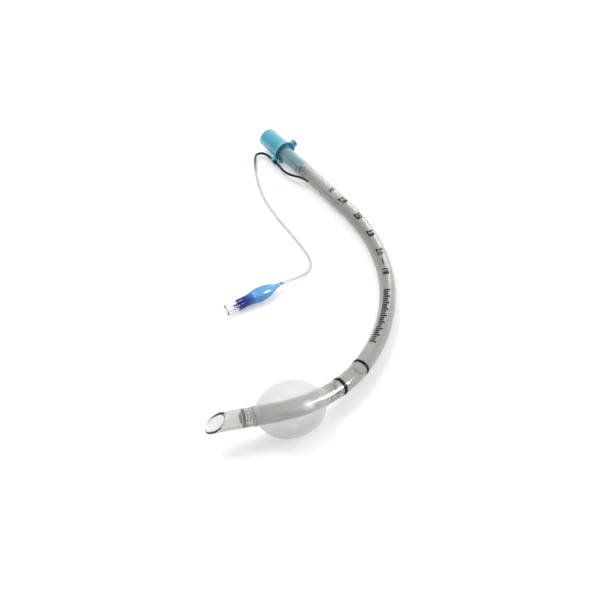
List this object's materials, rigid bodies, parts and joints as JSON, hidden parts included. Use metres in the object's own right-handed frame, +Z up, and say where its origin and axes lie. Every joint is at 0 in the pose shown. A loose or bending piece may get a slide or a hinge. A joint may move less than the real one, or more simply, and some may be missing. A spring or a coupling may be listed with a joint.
{
  "type": "endotracheal tube",
  "caption": "Curved wire-reinforced airway tube with a round cuff, bevelled tip, tapered connector, thin inflation line and a pilot balloon with a check valve.",
  "frame": {"origin": "on the table, under the middle of the box of the tube with its connector and cuff, without the inflation line and what hangs on it", "axes": "+Y towards the machine end of the connector, +Z up from the table, +X towards the outside of the bend at the connector"},
  "size_m": [0.2004, 0.2528, 0.0325],
  "materials": {
    "tube_plastic": "glossy, smoky grey, soft",
    "wire_steel": "drawn stainless wire",
    "connector_plastic": "glossy, translucent light blue",
    "cuff_film": "thin, clear, glossy",
    "ring_ink": "black print",
    "line_plastic": "clear, soft",
    "balloon_film": "thin, translucent blue",
    "valve_clear": "clear, moulded",
    "valve_rubber": "soft, dark",
    "valve_blue": "moulded",
    "spring_steel": "drawn stainless wire"
  },
  "bodies": {
    "airway": {"connector": "connector_plastic", "tracheal_tube": "tube_plastic", "reinforcing_wire": "wire_steel", "cuff": "cuff_film", "depth_rings": "ring_ink", "inflation_line": "line_plastic", "pilot_balloon": "balloon_film", "valve_body": "valve_clear", "valve_retainer": "valve_clear", "valve_spring": "spring_steel"},
    "check_valve": {"valve_plunger": "valve_blue", "valve_seal": "valve_rubber"}
  },
  "joints": [
    {"name": "valve_push", "type": "slide", "parent": "airway", "child": "check_valve", "axis": [0.9982, -0.0279, 0.0531], "range_m": [0, 0.0013], "stiffness_N_per_m": 100, "springref_m": -0.003, "deforming": ["valve_spring"]}
  ]
}
